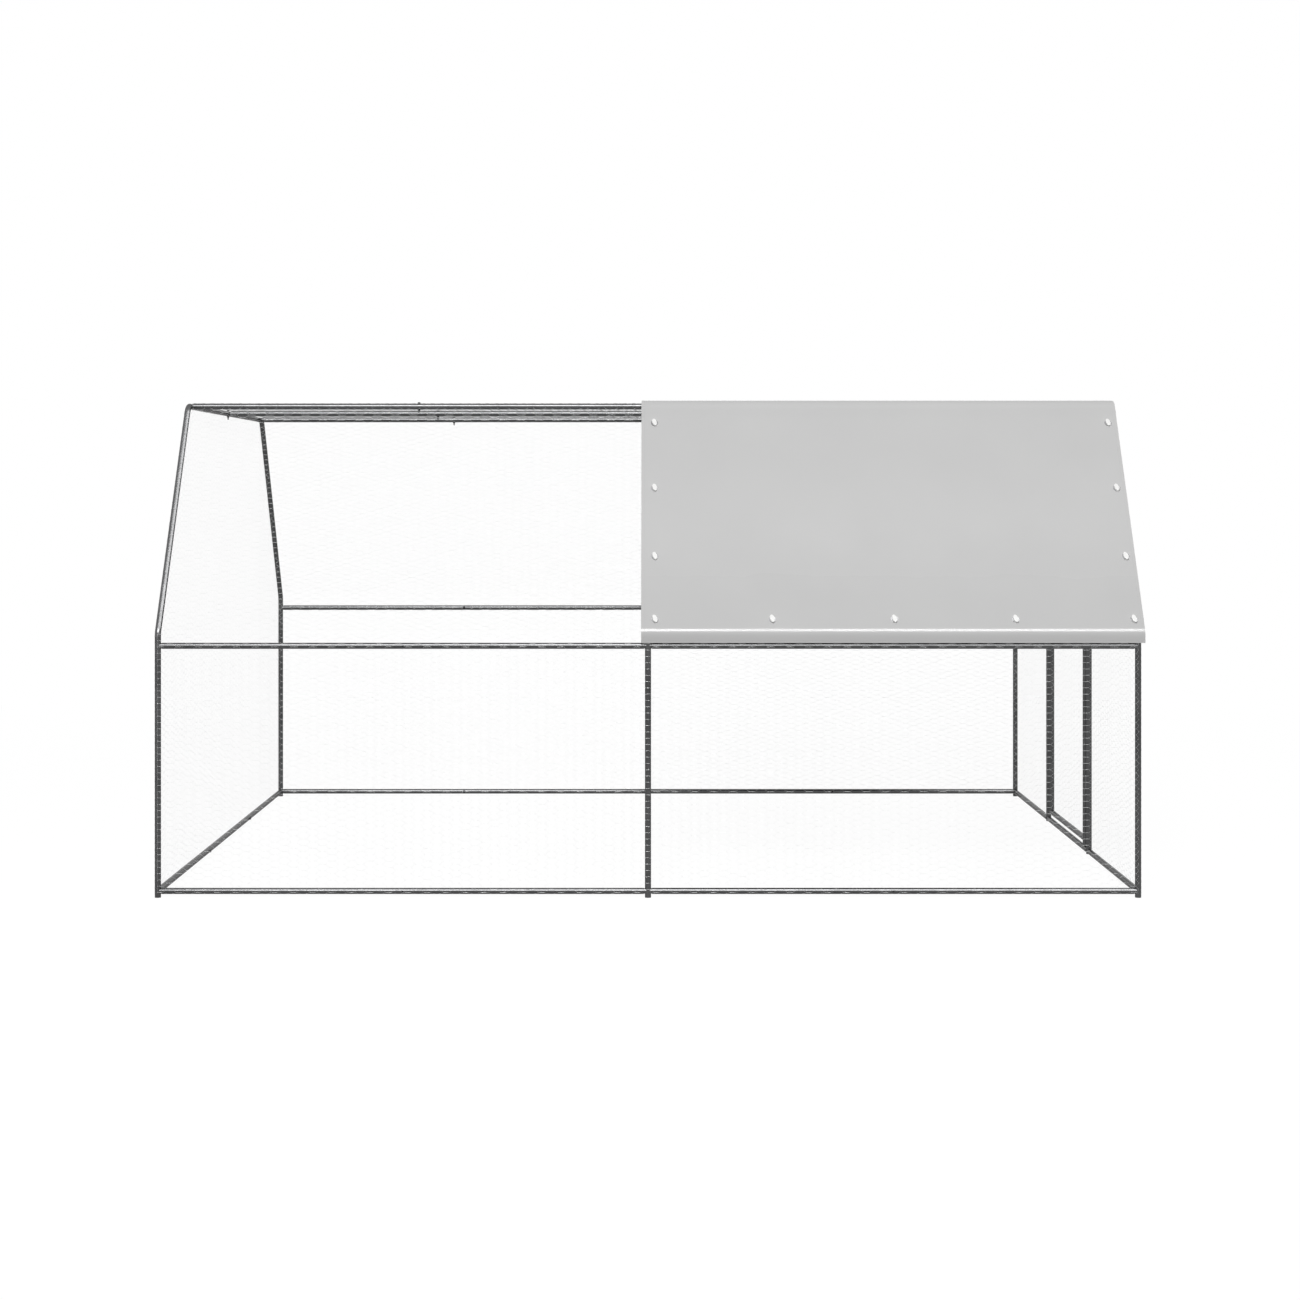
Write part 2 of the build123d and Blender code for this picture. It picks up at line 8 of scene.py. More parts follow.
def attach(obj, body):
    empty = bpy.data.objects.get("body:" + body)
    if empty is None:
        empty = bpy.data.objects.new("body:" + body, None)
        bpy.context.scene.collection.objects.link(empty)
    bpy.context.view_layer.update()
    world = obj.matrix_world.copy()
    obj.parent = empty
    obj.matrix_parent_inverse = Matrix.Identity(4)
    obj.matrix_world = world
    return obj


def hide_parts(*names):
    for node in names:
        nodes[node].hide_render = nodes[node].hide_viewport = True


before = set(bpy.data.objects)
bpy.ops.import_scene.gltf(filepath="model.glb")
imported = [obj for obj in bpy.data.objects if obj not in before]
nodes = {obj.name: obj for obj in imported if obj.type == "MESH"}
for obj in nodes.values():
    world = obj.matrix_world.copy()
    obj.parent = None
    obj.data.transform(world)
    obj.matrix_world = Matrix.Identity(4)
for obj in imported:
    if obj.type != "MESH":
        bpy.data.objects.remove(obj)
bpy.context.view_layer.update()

# Steel tubes
# Posts, rafters, crossbars, rails, sills and the door's frame are thin steel tube, dipped in zinc that has
# weathered to a dark satin grey. The tubes are bent cold, plugged end to end and bolted.


def add_node(tree, kind, inputs=None, **settings):
    """Add a node, set its options, and link or fill its inputs."""
    made = tree.nodes.new(kind)
    for name, value in settings.items():
        setattr(made, name, value)
    for key, value in (inputs or {}).items():
        if isinstance(value, bpy.types.NodeSocket):
            tree.links.new(value, made.inputs[key])
        else:
            made.inputs[key].default_value = value
    return made


def zinc_spangle():
    """Shader group for hot-dipped zinc: grains of metal, cloudy patches and a slightly uneven skin."""
    group = bpy.data.node_groups.new("zinc spangle", "ShaderNodeTree")
    for name, kind in (
        ("Dark zinc", "NodeSocketColor"),
        ("Light zinc", "NodeSocketColor"),
        ("Grains per metre", "NodeSocketFloat"),
        ("Smooth roughness", "NodeSocketFloat"),
        ("Dull roughness", "NodeSocketFloat"),
    ):
        group.interface.new_socket(name, in_out="INPUT", socket_type=kind)
    for name, kind in (
        ("Colour", "NodeSocketColor"),
        ("Roughness", "NodeSocketFloat"),
        ("Height", "NodeSocketFloat"),
    ):
        group.interface.new_socket(name, in_out="OUTPUT", socket_type=kind)
    given = add_node(group, "NodeGroupInput").outputs
    place = add_node(group, "ShaderNodeTexCoord").outputs["Object"]
    grains = add_node(
        group, "ShaderNodeTexVoronoi", {"Vector": place, "Scale": given["Grains per metre"]}
    )
    grain = add_node(group, "ShaderNodeSeparateColor", {"Color": grains.outputs["Color"]})
    patches = add_node(
        group, "ShaderNodeTexNoise", {"Vector": place, "Scale": 9.0, "Detail": 4.0, "Roughness": 0.6}
    )
    skin = add_node(
        group, "ShaderNodeTexNoise", {"Vector": place, "Scale": 260.0, "Detail": 2.0, "Roughness": 0.5}
    )
    grain_share, cloud_share = 0.4, 0.6  # of the way from the dark to the light zinc
    cloud = add_node(
        group,
        "ShaderNodeMapRange",
        {"Value": patches.outputs["Fac"], "From Min": 0.35, "From Max": 0.65, "To Max": cloud_share},
    )
    shade = add_node(
        group,
        "ShaderNodeMath",
        {0: grain.outputs[0], 1: grain_share, 2: cloud.outputs["Result"]},
        operation="MULTIPLY_ADD",
    )
    colour = add_node(
        group,
        "ShaderNodeMix",
        {0: shade.outputs[0], 6: given["Dark zinc"], 7: given["Light zinc"]},
        data_type="RGBA",
    )
    roughness = add_node(
        group,
        "ShaderNodeMapRange",
        {
            "Value": patches.outputs["Fac"],
            "From Min": 0.3,
            "From Max": 0.7,
            "To Min": given["Smooth roughness"],
            "To Max": given["Dull roughness"],
        },
    )
    grain_height = 0.3  # beside the unevenness of the skin
    height = add_node(
        group,
        "ShaderNodeMath",
        {0: grain.outputs[0], 1: grain_height, 2: skin.outputs["Fac"]},
        operation="MULTIPLY_ADD",
    )
    add_node(
        group,
        "NodeGroupOutput",
        {"Colour": colour.outputs[2], "Roughness": roughness.outputs["Result"], "Height": height.outputs[0]},
    )
    return group


spangle = zinc_spangle()


def zinc_material(name, dark, light, grains, smooth, dull, relief):
    """Metal in zinc spangle: two greys, grains to a metre, two roughnesses and the depth of its skin."""
    material = bpy.data.materials.new(name)
    material.use_nodes = True
    tree = material.node_tree
    shader = tree.nodes["Principled BSDF"]
    shader.inputs["Metallic"].default_value = 1.0
    zinc = add_node(
        tree,
        "ShaderNodeGroup",
        {
            "Dark zinc": (*dark, 1.0),
            "Light zinc": (*light, 1.0),
            "Grains per metre": grains,
            "Smooth roughness": smooth,
            "Dull roughness": dull,
        },
        node_tree=spangle,
    )
    bump = add_node(
        tree,
        "ShaderNodeBump",
        {"Height": zinc.outputs["Height"], "Strength": 0.5, "Distance": relief},
    )
    tree.links.new(zinc.outputs["Colour"], shader.inputs["Base Color"])
    tree.links.new(zinc.outputs["Roughness"], shader.inputs["Roughness"])
    tree.links.new(bump.outputs["Normal"], shader.inputs["Normal"])
    return material


def dress(names, material):
    """Give CAD nodes their finish."""
    for name in names:
        for slot in nodes[name].material_slots:
            slot.material = material


tube_starts = ("post_", "rafter_", "crossbar_", "sill_", "eave_rail_", "top_rail_", "door_post_")
door_tubes = ["door_hinge_stile", "door_latch_stile", "door_bottom_rail", "door_middle_rail", "door_top_rail"]
tube_zinc = zinc_material(
    "weathered zinc on tube",
    dark=(0.100, 0.101, 0.103),
    light=(0.158, 0.159, 0.161),
    grains=160.0,
    smooth=0.18,
    dull=0.26,
    relief=0.0002,
)
edge_grey = (0.64, 0.64, 0.64, 1.0)  # weathered zinc mirrors less at a glancing look than clean metal
tube_zinc.node_tree.nodes["Principled BSDF"].inputs["Specular Tint"].default_value = edge_grey
dress([name for name in nodes if name.startswith(tube_starts)] + door_tubes, tube_zinc)

# Splice bolts and nuts
# Flanged hexagon bolts hold every splice: upright in the top rails and the middle of the crossbars, with a nut and
# some bare thread below, and level elsewhere, put in from inside. Their plating is darker than the tubes' zinc.

bolt_zinc = zinc_material(
    "dark plating on bolts",
    dark=(0.016, 0.016, 0.017),
    light=(0.030, 0.030, 0.031),
    grains=420.0,
    smooth=0.30,
    dull=0.42,
    relief=0.0001,
)
dress(["splice_bolts", "splice_nuts"], bolt_zinc)

# Hinges and slide bolt
# Turned hinge barrels and their leaves are welded to the door post and the stile. The slide bolt is a plate with
# two guide blocks, a turned rod with a knob, and a keeper on the back door post, all plated.

fitting_zinc = zinc_material(
    "plated zinc on fittings",
    dark=(0.13, 0.13, 0.135),
    light=(0.20, 0.20, 0.205),
    grains=300.0,
    smooth=0.24,
    dull=0.36,
    relief=0.0001,
)
dress(["hinge_pins", "hinge_sockets", "latch_guide", "latch_bolt", "latch_keeper"], fitting_zinc)

# Wire nets
# Hexagonal net of bright galvanised wire, with a mesh of one inch: two wires are twisted together along each flat
# side and part into the slanted sides. The nets are cut to fit and tied to the tubes. The top nets' wire is
# darker, as painted shade on their undersides seen from below, and a little rougher.

half_length = 1.9875  # from the middle of the cage to the axes of the end posts
half_depth = 1.4875  # and to the axes of the front and back posts
bend_height = 1.073  # where the posts lean in
top_height = 2.015  # of the axes of the flat top
top_half = 0.9  # from the middle of the flat top to its bends
slope_run = half_depth - top_half
slope_rise = top_height - bend_height
slope_length = math.hypot(slope_run, slope_rise)
slope_cos = slope_run / slope_length
slope_sin = slope_rise / slope_length
net_off = 0.0136  # from the axis of a tube to the net that lies on it
net_wire = 0.0006  # diameter
inch_mesh = (0.03865, 0.0255)  # from column to column of hexagons, and from row to row
twist_length = 0.022

wire_zinc = zinc_material(
    "bright zinc on wire",
    dark=(0.90, 0.905, 0.91),
    light=(0.95, 0.955, 0.96),
    grains=900.0,
    smooth=0.40,
    dull=0.52,
    relief=0.00005,
)
# Darker copy of the wire's zinc for the top nets: its greys are painted shade for their undersides seen from
# below.
top_wire_zinc_painted_shade = zinc_material(
    "zinc on wire darkened as painted shade",
    dark=(0.48, 0.485, 0.49),
    light=(0.56, 0.565, 0.57),
    grains=900.0,
    smooth=0.46,
    dull=0.58,
    relief=0.00005,
)


def hexagonal_net():
    """Geometry tree that fills a flat panel with hexagonal wire net."""
    tree = bpy.data.node_groups.new("hexagonal net", "GeometryNodeTree")
    tree.interface.new_socket("Panel", in_out="INPUT", socket_type="NodeSocketGeometry")
    for name, kind in (
        ("Anchor", "NodeSocketVector"),
        ("Column pitch", "NodeSocketFloat"),
        ("Row height", "NodeSocketFloat"),
        ("Twist length", "NodeSocketFloat"),
        ("Wire diameter", "NodeSocketFloat"),
        ("Wire", "NodeSocketMaterial"),
    ):
        tree.interface.new_socket(name, in_out="INPUT", socket_type=kind)
    tree.interface.new_socket("Net", in_out="OUTPUT", socket_type="NodeSocketGeometry")
    given = add_node(tree, "NodeGroupInput").outputs

    touching = 0.0005  # wire ends this near to each other, or to the panel, count as touching
    stub = 0.0015  # a wire drawn in to less than this is dropped
    twist_turn = 4.0 * math.pi / 3.0  # of two wires along one twist

    def sums(operation, *values):
        return add_node(tree, "ShaderNodeMath", dict(enumerate(values)), operation=operation).outputs[0]

    def vector(x=0.0, y=0.0, z=0.0):
        return add_node(tree, "ShaderNodeCombineXYZ", {"X": x, "Y": y, "Z": z}).outputs[0]

    # Lattice of twists, one to a column and row, with every other column half a row higher
    corners = add_node(tree, "GeometryNodeBoundBox", {"Geometry": given["Panel"]}).outputs
    low = add_node(tree, "ShaderNodeSeparateXYZ", {0: corners["Min"]}).outputs
    high = add_node(tree, "ShaderNodeSeparateXYZ", {0: corners["Max"]}).outputs
    anchor = add_node(tree, "ShaderNodeSeparateXYZ", {0: given["Anchor"]}).outputs
    pitch, row = given["Column pitch"], given["Row height"]
    double = sums("MULTIPLY", pitch, 2.0)
    first_column = sums("FLOOR", sums("DIVIDE", sums("SUBTRACT", low[0], anchor[0]), double))
    first_row = sums("FLOOR", sums("DIVIDE", sums("SUBTRACT", low[1], anchor[1]), row))
    start_x = sums("SUBTRACT", sums("MULTIPLY_ADD", first_column, double, anchor[0]), double)
    start_y = sums("SUBTRACT", sums("MULTIPLY_ADD", first_row, row, anchor[1]), row)
    columns = sums("CEIL", sums("ADD", sums("DIVIDE", sums("SUBTRACT", high[0], start_x), pitch), 2.0))
    rows = sums("CEIL", sums("ADD", sums("DIVIDE", sums("SUBTRACT", high[1], start_y), row), 2.0))
    lattice = add_node(
        tree,
        "GeometryNodeMeshGrid",
        {"Size X": 1.0, "Size Y": 1.0, "Vertices X": columns, "Vertices Y": rows},
    ).outputs["Mesh"]
    index = add_node(tree, "GeometryNodeInputIndex").outputs[0]
    column = sums("FLOOR", sums("DIVIDE", sums("ADD", index, 0.5), rows))
    height = sums("SUBTRACT", index, sums("MULTIPLY", column, rows))
    shift = sums("MULTIPLY", sums("MODULO", column, 2.0), 0.5)
    place = vector(
        sums("MULTIPLY_ADD", column, pitch, start_x),
        sums("MULTIPLY_ADD", sums("ADD", height, shift), row, start_y),
    )
    lattice = add_node(tree, "GeometryNodeSetPosition", {"Geometry": lattice, "Position": place}).outputs[0]

    # One twist and the two slanted wires that leave its right end
    half_twist = sums("MULTIPLY", given["Twist length"], 0.5)
    far = sums("SUBTRACT", pitch, half_twist)
    half_row = sums("MULTIPLY", row, 0.5)
    fork = vector(half_twist)
    lines = []
    for start, end in (
        (vector(sums("MULTIPLY", half_twist, -1.0)), fork),
        (fork, vector(far, half_row)),
        (fork, vector(far, sums("MULTIPLY", half_row, -1.0))),
    ):
        line = add_node(
            tree,
            "GeometryNodeMeshLine",
            {"Count": 2, "Start Location": start, "Offset": end},
            mode="END_POINTS",
        )
        lines.append(line.outputs["Mesh"])
    lines[0] = add_node(
        tree,
        "GeometryNodeStoreNamedAttribute",
        {"Geometry": lines[0], "Name": "twist", "Value": True},
        data_type="BOOLEAN",
        domain="EDGE",
    ).outputs[0]
    cell = add_node(tree, "GeometryNodeJoinGeometry")
    for line in lines:
        tree.links.new(line, cell.inputs[0])
    placed = add_node(
        tree, "GeometryNodeInstanceOnPoints", {"Points": lattice, "Instance": cell.outputs[0]}
    ).outputs[0]
    wires = add_node(tree, "GeometryNodeRealizeInstances", {0: placed}).outputs[0]
    wires = add_node(tree, "GeometryNodeMergeByDistance", {"Geometry": wires, "Distance": touching}).outputs[0]

    # Wires wholly outside the panel go, and ends that stick out are drawn in to its edge
    ends = add_node(tree, "GeometryNodeInputMeshEdgeVertices").outputs
    outside = []
    for end in ("Position 1", "Position 2"):
        near = add_node(
            tree,
            "GeometryNodeProximity",
            {"Geometry": given["Panel"], "Sample Position": ends[end]},
            target_element="FACES",
        )
        outside.append(near.outputs["Distance"])
    strays = sums("GREATER_THAN", sums("MINIMUM", *outside), touching)
    wires = add_node(
        tree,
        "GeometryNodeDeleteGeometry",
        {"Geometry": wires, "Selection": strays},
        domain="EDGE",
        mode="EDGE_FACE",
    ).outputs[0]
    drawn_in = add_node(tree, "GeometryNodeProximity", {"Geometry": given["Panel"]}, target_element="FACES")
    wires = add_node(
        tree, "GeometryNodeSetPosition", {"Geometry": wires, "Position": drawn_in.outputs["Position"]}
    ).outputs[0]
    wires = add_node(tree, "GeometryNodeMergeByDistance", {"Geometry": wires, "Distance": stub}).outputs[0]

    # Slanted wires are single, and flat sides are two wires wound round each other
    is_twist = add_node(
        tree, "GeometryNodeInputNamedAttribute", {"Name": "twist"}, data_type="BOOLEAN"
    ).outputs["Attribute"]
    parts = add_node(
        tree, "GeometryNodeSeparateGeometry", {"Geometry": wires, "Selection": is_twist}, domain="EDGE"
    ).outputs
    wire_radius = sums("MULTIPLY", given["Wire diameter"], 0.5)
    section = add_node(
        tree, "GeometryNodeCurvePrimitiveCircle", {"Resolution": 3, "Radius": wire_radius}
    ).outputs["Curve"]
    single = add_node(tree, "GeometryNodeMeshToCurve", {"Mesh": parts["Inverted"]}).outputs[0]
    along = add_node(tree, "GeometryNodeMeshToCurve", {"Mesh": parts["Selection"]}).outputs[0]
    along = add_node(tree, "GeometryNodeResampleCurve", {"Curve": along, "Count": 3}).outputs[0]
    share = add_node(tree, "GeometryNodeSplineParameter").outputs["Factor"]
    curves = [single]
    for phase in (0.0, math.pi):
        turn = sums("MULTIPLY_ADD", share, twist_turn, phase)
        offset = vector(
            0.0,
            sums("MULTIPLY", sums("COSINE", turn), wire_radius),
            sums("MULTIPLY", sums("SINE", turn), wire_radius),
        )
        curves.append(
            add_node(tree, "GeometryNodeSetPosition", {"Geometry": along, "Offset": offset}).outputs[0]
        )
    net = add_node(tree, "GeometryNodeJoinGeometry")
    for curve in curves:
        wire = add_node(tree, "GeometryNodeCurveToMesh", {"Curve": curve, "Profile Curve": section})
        tree.links.new(wire.outputs[0], net.inputs[0])
    whole = add_node(tree, "GeometryNodeRealizeInstances", {0: net.outputs[0]}).outputs[0]
    whole = add_node(
        tree, "GeometryNodeSetMaterial", {"Geometry": whole, "Material": given["Wire"]}
    ).outputs[0]
    add_node(tree, "NodeGroupOutput", {"Net": whole})
    return tree


net_tree = hexagonal_net()


def grown(name, mesh, tree, values):
    """Grow a mesh through a geometry tree, and keep the result as a plain object."""
    seed = bpy.data.objects.new(name + "_seed", mesh)
    bpy.context.scene.collection.objects.link(seed)
    modifier = seed.modifiers.new("grow", "NODES")
    modifier.node_group = tree
    for item in tree.interface.items_tree:
        if item.in_out == "INPUT" and item.name in values:
            modifier[item.identifier] = values[item.name]
    bpy.context.view_layer.update()
    depsgraph = bpy.context.evaluated_depsgraph_get()
    result = bpy.data.meshes.new_from_object(seed.evaluated_get(depsgraph))
    bpy.data.objects.remove(seed)
    result.name = name
    piece = bpy.data.objects.new(name, result)
    bpy.context.scene.collection.objects.link(piece)
    return piece


def panel(
    name, stands_for, body, origin, right, up, outline, anchor=(0.0, 0.0), mesh_size=inch_mesh, wire=wire_zinc
):
    """Stretch one net over its outline, given on a plane by two directions, in place of its CAD nodes."""
    flat = bpy.data.meshes.new(name + "_outline")
    flat.from_pydata([(x, y, 0.0) for x, y in outline], [], [range(len(outline))])
    sizes = {
        "Anchor": (*anchor, 0.0),
        "Column pitch": mesh_size[0],
        "Row height": mesh_size[1],
        "Twist length": twist_length,
        "Wire diameter": net_wire,
        "Wire": wire,
    }
    net = grown(name, flat, net_tree, sizes)
    right, up = Vector(right), Vector(up)
    out = right.cross(up)
    net.data.transform(Matrix((right, up, out)).transposed().to_4x4())
    net.data.transform(Matrix.Translation(Vector(origin) + out * net_off))
    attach(net, body)
    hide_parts(*stands_for)
    return net


def oblong(left, right, bottom, top):
    """Corners of an upright rectangle."""
    return [(left, bottom), (right, bottom), (right, top), (left, top)]


net_foot = 0.018  # the nets of the walls and ends reach the lower half of the sills
wall_net_top = 1.0708  # just under the bend of the posts
slope_net_foot, slope_net_stop = 0.0022, 0.0183  # from the lower bend, and short of the upper one
top_net_end = 1.9785  # inside the axes of the end hoops
top_net_outer, top_net_inner = 0.8817, 0.009  # from the middle, clear of the bends and of the middle bolts
net_anchor = (-0.0045, 0.0348)  # a twist that lies on the middle post, as the photo shows them there
wall_net = oblong(-half_length, half_length, net_foot, wall_net_top)
slope_net = oblong(-half_length, half_length, slope_net_foot, slope_length - slope_net_stop)
top_net = oblong(-top_net_end, top_net_end, -top_net_outer, -top_net_inner)
splice_y = 0.77  # splices of the crossbars
splice_setback, splice_rows = 0.09, 3.5  # from there to an outer top rail, and the rows of net between
top_columns = 50  # from the middle hoop to an end hoop
top_mesh = (half_length / top_columns, splice_setback / splice_rows)  # the rails' bolt heads stand in its gaps
top_anchor = (0.0, -splice_y + top_mesh[1] / 2)
for side, way in (("front", 1.0), ("back", -1.0)):
    along = (way, 0, 0)
    wall = (0.0, -way * half_depth, 0.0)
    panel(f"net_wall_{side}", [f"wall_net_{side}"], "frame", wall, along, (0, 0, 1), wall_net, net_anchor)
    bend = (0.0, -way * half_depth, bend_height)
    up_slope = (0.0, way * slope_cos, slope_sin)
    panel(f"net_slope_{side}", [f"slope_net_{side}"], "frame", bend, along, up_slope, slope_net, net_anchor)
    top = (f"net_top_{side}", [f"top_net_{side}"], "frame", (0.0, 0.0, top_height), along, (0, way, 0), top_net)
    # The top nets get the darker wire, painted shade for their undersides seen from below.
    panel(*top, top_anchor, top_mesh, top_wire_zinc_painted_shade)

left_end = (-half_length, 0.0, 0.0)
right_end = (half_length, 0.0, 0.0)
gable = [(-half_depth, net_foot), (half_depth, net_foot), (half_depth, bend_height)]
gable += [(top_half, top_height), (-top_half, top_height), (-half_depth, bend_height)]
left_nodes = ["end_net_left_lower", "end_net_left_upper"]
panel("net_left_end", left_nodes, "frame", left_end, (0, -1, 0), (0, 0, 1), gable)
door_edge = 0.4958  # from the middle of the end to the axes of the door posts
beside = [(-half_depth, net_foot), (-door_edge, net_foot), (-door_edge, top_height)]
beside += [(-top_half, top_height), (-half_depth, bend_height)]
beyond = [(-x, y) for x, y in beside[::-1]]
panel("net_right_front", ["end_net_right_front"], "frame", right_end, (0, 1, 0), (0, 0, 1), beside)
panel("net_right_back", ["end_net_right_back"], "frame", right_end, (0, 1, 0), (0, 0, 1), beyond)
stile_y = 0.4168  # from the middle of the end to the axes of the door's stiles
door_foot, door_head = 0.070, 1.965  # axes of the door's bottom and top rails
door_net = oblong(-stile_y, stile_y, door_foot, door_head)
panel("net_door", ["door_net"], "door", right_end, (0, 1, 0), (0, 0, 1), door_net)

# Roof cover
# One sheet of woven plastic tape, coated light grey, lies over the right bay from flap to flap. It is pulled flat
# over the tubes by its toggles, and its edges are folded over and sewn.

cover_off = 0.0193  # from the axes of the tubes to the middle of the sheet
cover_left = -0.028
cover_right = 2.013
flap_end = 1.0328  # height of the lower edges
tube_bend = 0.06  # radius in which the tubes are bent
cover_bend = tube_bend + cover_off
bend_step = 0.006  # between points of the sheet round a bend
cover_sag = 0.0022
slope_sag_start, slope_sag_length = 0.08, 1.05  # along the sheet, from its lower edge
top_sag_start = 1.22
cover_rise = 0.0056  # over the nets and bolt heads of the flat top
rise_start, rise_length = 1.08, 0.09  # up the sheet, over the upper bend
slope_end = 1.15  # where the sag of a slope gives way to that of the flat top
sheet_thickness = 0.0008
hem_width = 0.0153


def straight_run(start, end, step):
    """Evenly spaced points on a straight stretch, both ends included."""
    along = (end - start).normalized()
    outward = Vector((-along.y, along.x))
    count = max(1, math.ceil((end - start).length / step))
    return [(start.lerp(end, i / count), outward) for i in range(count + 1)]


def rounded_line(corners, radius, run_step, arc_step):
    """Points along a line of corners in the YZ plane, rounded, with the outward direction at each."""
    points = []
    spots = [Vector(corner) for corner in corners]
    start = spots[0]
    for before, corner, after in zip(spots, spots[1:], spots[2:]):
        come, go = (corner - before).normalized(), (after - corner).normalized()
        turn = come.angle(go)
        cut = radius * math.tan(turn / 2)
        points += straight_run(start, corner - come * cut, run_step)
        inward = Vector((come.y, -come.x))
        centre = corner - come * cut + inward * radius
        steps = max(2, math.ceil(radius * turn / arc_step))
        for step in range(1, steps):
            angle = turn * step / steps
            outward = -inward * math.cos(angle) + come * math.sin(angle)
            points.append((centre + outward * radius, outward))
        start = corner + go * cut
    return points + straight_run(start, spots[-1], run_step)


lean = math.atan2(slope_run, slope_rise)
eave_y = half_depth + cover_off
eave_z = bend_height + cover_off * math.tan(lean / 2)
ridge_y = top_half + cover_off * math.tan((math.pi / 2 - lean) / 2)
cover_corners = [(-eave_y, flap_end), (-eave_y, eave_z), (-ridge_y, top_height + cover_off)]
cover_corners += [(-y, z) for y, z in cover_corners[::-1]]
cover_line = rounded_line(cover_corners, cover_bend, hem_width, bend_step)
cover_runs = [0.0]
for here, there in zip(cover_line, cover_line[1:]):
    cover_runs.append(cover_runs[-1] + (there[0] - here[0]).length)
cover_length = cover_runs[-1]


def part_way(value, start, length):
    """How far a value is along a stretch, from nought to one."""
    return min(max((value - start) / length, 0.0), 1.0)


def cover_point(x, place, lift):
    """Point of the sheet at a place along its line, lifted off its middle, with its sag and its rise on top."""
    (y, z), outward = cover_line[place]
    run = min(cover_runs[place], cover_length - cover_runs[place])
    if run < slope_end:
        along = part_way(run, slope_sag_start, slope_sag_length)
    else:
        along = part_way(run, top_sag_start, cover_length - 2 * top_sag_start)
    dip = math.sin(math.pi * part_way(x, 0.0, half_length)) * math.sin(math.pi * along)
    rise = part_way(run, rise_start, rise_length)
    off = lift - cover_sag * dip + cover_rise * rise * rise * (3 - 2 * rise)
    return (x, y + outward[0] * off, z + outward[1] * off)


def cloth(name, patches, lift, material):
    """Pieces of the sheet, each over a range across and along the cover, with that measure as their UV."""
    form = bmesh.new()
    measure = form.loops.layers.uv.new("cloth")
    for xs, places in patches:
        rows = [[form.verts.new(cover_point(x, place, lift)) for x in xs] for place in places]
        for j, (near, far) in enumerate(zip(rows, rows[1:])):
            for i in range(len(xs) - 1):
                face = form.faces.new((near[i], near[i + 1], far[i + 1], far[i]))
                face.smooth = True
                corners = ((i, j), (i + 1, j), (i + 1, j + 1), (i, j + 1))
                for loop, (across, along) in zip(face.loops, corners):
                    loop[measure].uv = (xs[across], cover_runs[places[along]])
    for edge in form.edges:
        edge.smooth = not edge.is_boundary
    mesh = bpy.data.meshes.new(name)
    form.to_mesh(mesh)
    form.free()
    mesh.materials.append(material)
    piece = bpy.data.objects.new(name, mesh)
    bpy.context.scene.collection.objects.link(piece)
    solid = piece.modifiers.new("cloth thickness", "SOLIDIFY")
    solid.thickness = sheet_thickness
    solid.offset = 0.0
    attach(piece, "frame")
    return piece


def coated_sheet():
    """Light grey coating over woven tape: a fine weave, soft clouding, and a sheen that is worn off the top."""
    material = bpy.data.materials.new("coated woven sheet")
    material.use_nodes = True
    tree = material.node_tree
    shader = tree.nodes["Principled BSDF"]
    shader.inputs["Specular IOR Level"].default_value = 0.2
    measure = add_node(tree, "ShaderNodeUVMap", uv_map="cloth").outputs[0]
    place = add_node(tree, "ShaderNodeSeparateXYZ", {0: measure}).outputs
    tape_pair = 0.005  # width of one tape over and one under
    tapes = []
    for axis in (0, 1):
        turns = add_node(
            tree, "ShaderNodeMath", {0: place[axis], 1: 2 * math.pi / tape_pair}, operation="MULTIPLY"
        )
        tapes.append(add_node(tree, "ShaderNodeMath", {0: turns.outputs[0]}, operation="SINE").outputs[0])
    weave = add_node(tree, "ShaderNodeMath", {0: tapes[0], 1: tapes[1]}, operation="MULTIPLY").outputs[0]
    clouds = add_node(tree, "ShaderNodeTexNoise", {"Vector": measure, "Scale": 3.0, "Detail": 5.0})
    weave_share = 0.05  # of the change in the grey
    shade = add_node(
        tree, "ShaderNodeMath", {0: weave, 1: weave_share, 2: clouds.outputs["Fac"]}, operation="MULTIPLY_ADD"
    )
    colour = add_node(
        tree,
        "ShaderNodeMix",
        {0: shade.outputs[0], 6: (0.535, 0.535, 0.535, 1.0), 7: (0.575, 0.575, 0.573, 1.0)},
        data_type="RGBA",
    )
    sheen = add_node(
        tree,
        "ShaderNodeMapRange",
        {"Value": clouds.outputs["Fac"], "From Min": 0.3, "From Max": 0.7, "To Min": 0.17, "To Max": 0.21},
    ).outputs["Result"]
    worn_from, worn_to = 0.2, 0.9  # up the sheet from its lower edge
    worn_roughness = 0.55
    from_middle = add_node(tree, "ShaderNodeMath", {0: place[1], 1: cover_length / 2}, operation="SUBTRACT")
    from_middle = add_node(tree, "ShaderNodeMath", {0: from_middle.outputs[0]}, operation="ABSOLUTE")
    worn = add_node(
        tree,
        "ShaderNodeMapRange",
        {
            "Value": from_middle.outputs[0],
            "From Min": cover_length / 2 - worn_to,
            "From Max": cover_length / 2 - worn_from,
            "To Min": worn_roughness,
            "To Max": 0.0,
        },
    ).outputs["Result"]
    rough = add_node(tree, "ShaderNodeMath", {0: sheen, 1: worn}, operation="ADD")
    bump = add_node(tree, "ShaderNodeBump", {"Height": weave, "Strength": 0.2, "Distance": 0.0001})
    tree.links.new(colour.outputs[2], shader.inputs["Base Color"])
    tree.links.new(rough.outputs[0], shader.inputs["Roughness"])
    tree.links.new(bump.outputs["Normal"], shader.inputs["Normal"])
    return material


cover_grey = coated_sheet()
cover_steps = 100
cover_xs = [cover_left + (cover_right - cover_left) * i / cover_steps for i in range(cover_steps + 1)]
cover_places = range(len(cover_line))
cover = cloth("cover_sheet", [(cover_xs, cover_places)], 0.0, cover_grey)
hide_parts("roof_cover")

